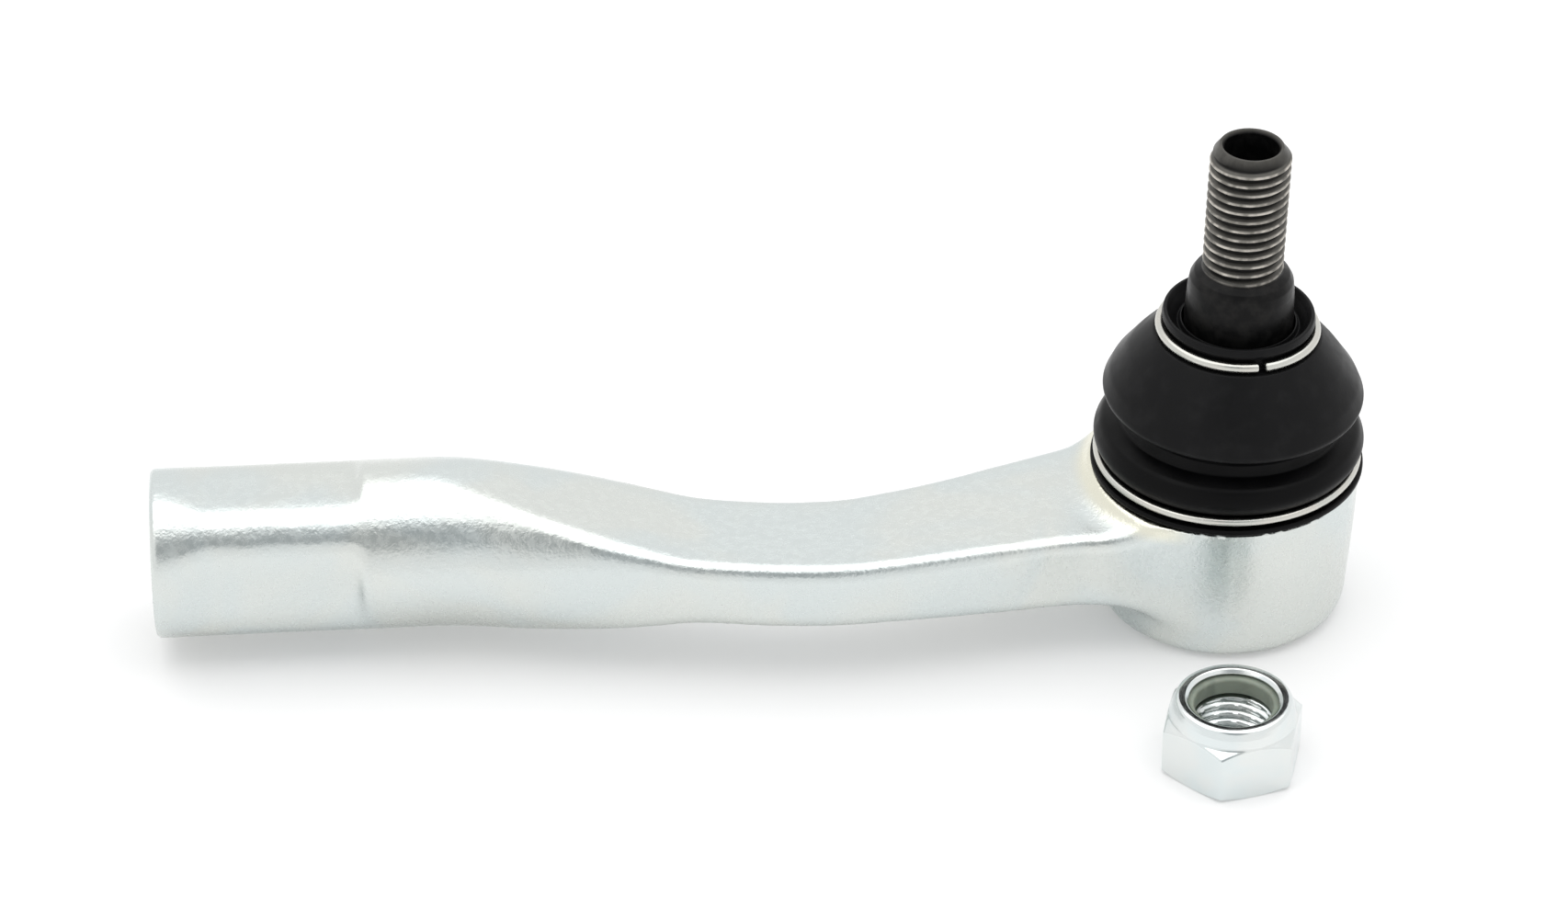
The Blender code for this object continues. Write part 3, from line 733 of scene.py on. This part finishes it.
def make_bearing():
    """The two plastic seats round the ball."""
    sphere = BALL_R + GAP
    split = 12.0
    at_split = degrees_at(sqrt(sphere**2 - (BALL_Z - split) ** 2), sphere)
    bowl = ball_arc(sphere, -degrees_at(3.0, sphere), -at_split, 22)
    seat_r = CAVITY_R - GAP
    lower = rounded([(seat_r, split, 0.3), (seat_r, 3.6, 0.6), (3.0, 3.6, 0.3)]) + bowl
    finish_piece(turned("lower_bearing_seat", lower, ACETAL), "bearing_seat", "lower_seat")
    split += GAP
    at_split = degrees_at(sqrt(sphere**2 - (BALL_Z - split) ** 2), sphere)
    bowl = ball_arc(sphere, -at_split, degrees_at(9.25, sphere), 22)
    top = CAVITY_TOP_Z - GAP
    upper = [(seat_r, top - 0.4), (seat_r, split)] + bowl + [(9.75, top), (seat_r - 0.4, top)]
    finish_piece(turned("upper_bearing_seat", upper, ACETAL), "housing", "upper_seat")


def lean(piece, low=-1.0, high=0.0):
    """Tips the mesh about the ball's centre, not at all below the height low and by LEAN above high."""
    centre = Vector((0, 0, BALL_Z * MM))
    for vertex in piece.data.vertices:
        share = min(max((vertex.co.z / MM - low) / (high - low), 0), 1)
        vertex.co = centre + Matrix.Rotation(LEAN * share, 3, "Y") @ (vertex.co - centre)
    return piece


def make_stud():
    """Ball, neck, seating cone, threaded end and its round recess."""
    flat_r = sqrt(BALL_R**2 - (BALL_Z - BALL_FLAT_Z) ** 2)
    ball = ball_arc(BALL_R, degrees_at(NECK_R, BALL_R), -degrees_at(flat_r, BALL_R), 44)
    end = STUD_TOP - END_CHAMFER
    head = rounded([
        (0, STUD_TOP - RECESS_DEPTH - 2),
        (RECESS_R, STUD_TOP - RECESS_DEPTH, 0.4),
        (RECESS_R, STUD_TOP - 0.5, 0.3),
        (RECESS_R + 0.35, STUD_TOP, 0.2),
        (THREAD_R - END_CHAMFER + 0.2, STUD_TOP, 0.2),
        (THREAD_R, end, 0),
        (THREAD_R, THREAD_LOW_Z, 0.2),
        (6.9, 56.4, 0.5),
        (7.5, 55.4, 0.8),
        (BODY_TOP_R, BODY_TOP_Z, 0.3),
        (BODY_R, 49.5, 0.5),
        (BODY_R, BODY_LOW_Z, 0.6),
        (NECK_R, BODY_LOW_Z - 4.0, 3.0),
        (NECK_R, 26.0, 2.0),
        ball[0],
    ], closed=False)
    points = with_rows(head, THREAD_LOW_Z - 0.2, end, THREAD_PITCH / 12)
    points = points + ball[1:] + [(0, BALL_FLAT_Z)]
    threaded = (THREAD_R, THREAD_LOW_Z - 1, STUD_TOP)
    stud = turned("threaded_ball_stud", points, PHOSPHATE, 120, threaded)
    cut_thread(stud, PHOSPHATE, THREAD_PITCH, -STUD_THREAD_DEPTH, THREAD_LOW_Z - 0.1, STUD_TOP + 1.2, 1.2)
    worn = stud.data.attributes.new("worn_end", "FLOAT", "POINT")
    for vertex, mark in zip(stud.data.vertices, worn.data):
        on_end = vertex.co.z / MM > end and vertex.co.xy.length / MM > RECESS_R + 0.1
        mark.value = float(on_end)
    finish_piece(lean(shade(stud, 60)), "stud", "ball_stud")


def make_boot():
    """Rubber boot: dished lip, ring groove, cone, a deep fold, the bulge, the ring's bead and its flange."""
    lip_top = 49.7
    sleeve_top = 48.3
    neck_r = UPPER_RING_R - UPPER_WIRE_R - GAP
    neck_high = UPPER_RING_Z + UPPER_WIRE_R + GAP
    cone_top = (12.2, 46.1)
    bead_r = LOWER_RING_R - LOWER_WIRE_R - GAP
    bead_high = LOWER_RING_Z + LOWER_WIRE_R + GAP
    flange_z = 24.5
    sits_at = TOP_Z + GAP
    stud_r = BODY_R + GAP
    points = rounded([
        (10.95, lip_top, 0.3),
        (11.15, lip_top - 1.0, 0.4),
        (10.8, neck_high, 0.3),
        (neck_r, neck_high, 0.2),
        (neck_r, cone_top[1] - 0.1, 0.2),
        (cone_top[0], cone_top[1], 0.5),
        (15.5, 42.2, 6.0),
        (18.1, 38.6, 3.5),
        (19.1, 36.3, 1.6),
        (18.8, 35.5, 0.6),
        (16.6, 34.6, 0.8),
        (16.2, 33.3, 0.6),
        (16.4, 31.7, 0.6),
        (18.9, 30.6, 1.8),
        (20.05, 28.4, 2.6),
        (18.9, bead_high, 1.0),
        (bead_r, bead_high - 0.05, 0.35),
        (bead_r, flange_z + 0.05, 0.35),
        (20.0, flange_z, 0.3),
        (20.0, sits_at, 0.3),
        (REGISTER_R + 0.4, sits_at, 0.2),
        (REGISTER_R + 0.4, 26.2, 0.3),
        (18.4, 28.4, 2.0),
        (17.0, 30.0, 1.2),
        (15.0, 31.2, 1.0),
        (14.8, 34.4, 1.0),
        (17.3, 36.2, 1.2),
        (16.2, 38.4, 3.0),
        (13.8, 41.6, 4.0),
        (11.0, 44.6, 0.6),
        (stud_r + 0.5, 44.5, 0.3),
        (stud_r, 45.0, 0.3),
        (stud_r, sleeve_top, 0.1),
        (stud_r + 0.25, sleeve_top, 0.1),
        (stud_r + 0.5, 47.4, 0.3),
        (9.9, lip_top - 0.9, 0.5),
        (10.5, lip_top, 0.2),
    ])
    boot = lean(turned("rubber_boot", points, RUBBER, 144), *LEAN_Z)
    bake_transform(boot)
    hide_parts("dust_boot")


def wire_ring(name, radius, height, wire, body, node, split=0.0, split_deg=0.0):
    """A ring bent from wire, closed or with a gap of split millimetres between its square ends."""
    around, sides = 160, 18
    half = split / 2 / radius
    count = around + 1 if split else around
    shape = bmesh.new()
    loops = []
    for i in range(count):
        turn = radians(split_deg) + half + (2 * pi - 2 * half) * i / around
        loop = []
        for k in range(sides):
            a = 2 * pi * k / sides
            reach = radius + wire * cos(a)
            place = Vector((reach * cos(turn), reach * sin(turn), height + wire * sin(a)))
            loop.append(shape.verts.new(place * MM))
        loops.append(loop)
    pairs = list(zip(loops, loops[1:]))
    if not split:
        pairs.append((loops[-1], loops[0]))
    for near, far in pairs:
        for k in range(sides):
            shape.faces.new((near[k], near[(k + 1) % sides], far[(k + 1) % sides], far[k]))
    if split:
        ends = [shape.faces.new(loops[0]), shape.faces.new(loops[-1])]
        rims = [edge for face in ends for edge in face.edges]
        bmesh.ops.bevel(shape, geom=rims, offset=0.12 * MM, segments=2, affect="EDGES")
    bmesh.ops.recalc_face_normals(shape, faces=shape.faces)
    mesh = bpy.data.meshes.new(name)
    shape.to_mesh(mesh)
    shape.free()
    ring = shade(add_piece(name, mesh, RING_WIRE))
    if body == "boot_neck":
        lean(ring)
    finish_piece(ring, body, node)


def make_nut():
    """Hexagon nut: a turned blank held in to six flats, with a rolled collar and a thread."""
    corner_r = NUT_FLATS / sqrt(3)
    flats_r = NUT_FLATS / 2
    insert_low, insert_high = INSERT_Z
    outside = rounded([
        (6.45, NUT_HEIGHT - 0.5, 0.25),
        (6.95, NUT_HEIGHT, 0.45),
        (8.25, NUT_HEIGHT, 0.9),
        (8.75, NUT_HEIGHT - 1.3, 1.2),
        (flats_r - 0.1, 8.3, 0.6),
        (corner_r + 0.12, 7.15, 0.4),
        (corner_r + 0.12, 0.55, 0.4),
        (9.5, 0, 0.3),
        (NUT_BORE_R + 0.75, 0, 0.2),
        (NUT_BORE_R, 0.75, 0),
        (NUT_BORE_R, insert_low - GAP, 0),
        (INSERT_R + GAP, insert_low - GAP, 0.1),
        (INSERT_R + GAP, insert_high + GAP, 0.1),
        (6.45, insert_high + GAP, 0.1),
    ])
    points = with_rows(outside, 0.0, NUT_HEIGHT, THREAD_PITCH / 12)
    threaded = (NUT_BORE_R, 0.75, insert_low - GAP)
    nut = turned("hexagon_lock_nut", points, NUT_ZINC, 216, threaded)
    cut_thread(nut, NUT_ZINC, THREAD_PITCH, 0.75, 0.2, insert_low + 0.6, 0.7)
    turn_to_corner = Matrix.Rotation(radians(NUT_CORNER_DEG), 4, "Z")
    for vertex in nut.data.vertices:
        reach = vertex.co.xy.length
        if reach < NUT_OUTSIDE_R * MM:
            continue
        turn = np.arctan2(vertex.co.y, vertex.co.x) % (pi / 3) - pi / 6
        held = float(soft_min(reach / MM, flats_r / cos(turn), 0.30)) * MM
        vertex.co.xy *= held / reach
    nut.data.transform(Matrix.Translation((*(NUT_AT * MM), 0)) @ turn_to_corner)
    finish_piece(shade(nut, 48), "lock_nut", "lock_nut")


def make_nut_insert():
    """Nylon ring held in the nut's collar."""
    low, high = INSERT_Z
    points = rounded([
        (INSERT_R, high, 0.3),
        (INSERT_R, low, 0.3),
        (INSERT_BORE_R, low, 0.4),
        (INSERT_BORE_R, high, 0.6),
    ])
    insert = turned("nylon_insert", points, NYLON, 120)
    insert.data.transform(Matrix.Translation((*(NUT_AT * MM), 0)))
    finish_piece(insert, "lock_nut", "nut_insert")


# ---- camera, light and floor ----


VIEW_TURN = radians(-4.3)       # the camera looks along +Y, turned by this much about the housing's axis
OPEN_ROOM_UP = radians(43)      # elevation of the middle of the room's darker side


def add_camera():
    camera = bpy.data.objects.new("camera", bpy.data.cameras.new("camera"))
    bpy.context.scene.collection.objects.link(camera)
    camera.data.sensor_width = 36.0
    camera.data.lens = 137.16
    camera.data.clip_end = 20.0
    seat = Matrix.Rotation(VIEW_TURN, 4, "Z") @ Vector((-0.06497, -0.72271, 0.49857))
    camera.location = seat + Vector((0, 0, TOP_Z * MM))
    camera.rotation_euler = (radians(55.4), 0, VIEW_TURN)
    bpy.context.scene.camera = camera


def softbox(name, place, size, power):
    """An area light that shines straight down."""
    light = bpy.data.lights.new(name, "AREA")
    light.shape = "RECTANGLE"
    light.size, light.size_y = size
    light.energy = power
    lamp = bpy.data.objects.new(name, light)
    bpy.context.scene.collection.objects.link(lamp)
    lamp.location = place


def add_world():
    """White studio all round, a little darker in front of the object, where the room is open."""
    world = bpy.data.worlds.new("studio")
    world.use_nodes = True
    tree = world.node_tree
    towards = tree.nodes.new("ShaderNodeTexCoord").outputs["Generated"]
    front = Matrix.Rotation(VIEW_TURN, 4, "Z") @ Vector((0.0, -cos(OPEN_ROOM_UP), sin(OPEN_ROOM_UP)))
    facing = tree.nodes.new("ShaderNodeVectorMath")
    facing.operation = "DOT_PRODUCT"
    tree.links.new(towards, facing.inputs[0])
    facing.inputs[1].default_value = front
    open_room = ramp(tree, facing.outputs["Value"], 0.89, 0.985)
    colour = mix(tree, open_room, (1.0, 1.0, 1.0), (0.42, 0.44, 0.45))
    back = tree.nodes["Background"]
    tree.links.new(colour, back.inputs["Color"])
    back.inputs["Strength"].default_value = 1.03
    bpy.context.scene.world = world


def add_floor():
    """Pale paper, just under the object, that glows a little so that its shadows stay soft."""
    made, tree, shader, where = new_finish("floor_paper", 0.0, 0.1)
    tone = ramp(tree, noise(tree, where, 180.0, 2.0), 0.3, 0.7, 0.74, 0.76)
    put(tree, shader.inputs["Base Color"], tone)
    shader.inputs["Roughness"].default_value = 0.9
    shader.inputs["Emission Color"].default_value = (1.0, 1.0, 1.0, 1.0)
    shader.inputs["Emission Strength"].default_value = 0.19
    mesh = bpy.data.meshes.new("floor")
    reach = 6.0
    corners = [(-reach, -reach), (reach, -reach), (reach, reach), (-reach, reach)]
    mesh.from_pydata([(x, y, -0.0001) for x, y in corners], [], [(0, 1, 2, 3)])
    add_piece("floor", mesh, made)


def light_studio():
    add_world()
    softbox("overhead_softbox", (-0.07, 0.10, 0.75), (1.3, 0.98), 3.2)
    add_floor()
    settings = bpy.context.scene.view_settings
    settings.view_transform = "Standard"
    settings.look = "None"


add_camera()
light_studio()
make_forging()
make_end_cover()
make_spring()
make_bearing()
make_stud()
make_boot()
wire_ring("upper_ring_wire", UPPER_RING_R, UPPER_RING_Z, UPPER_WIRE_R, "boot_neck", "upper_clamp_ring",
          RING_SPLIT, RING_SPLIT_DEG)
wire_ring("lower_ring_wire", LOWER_RING_R, LOWER_RING_Z, LOWER_WIRE_R, "housing", "lower_clamp_ring")
make_nut()
make_nut_insert()
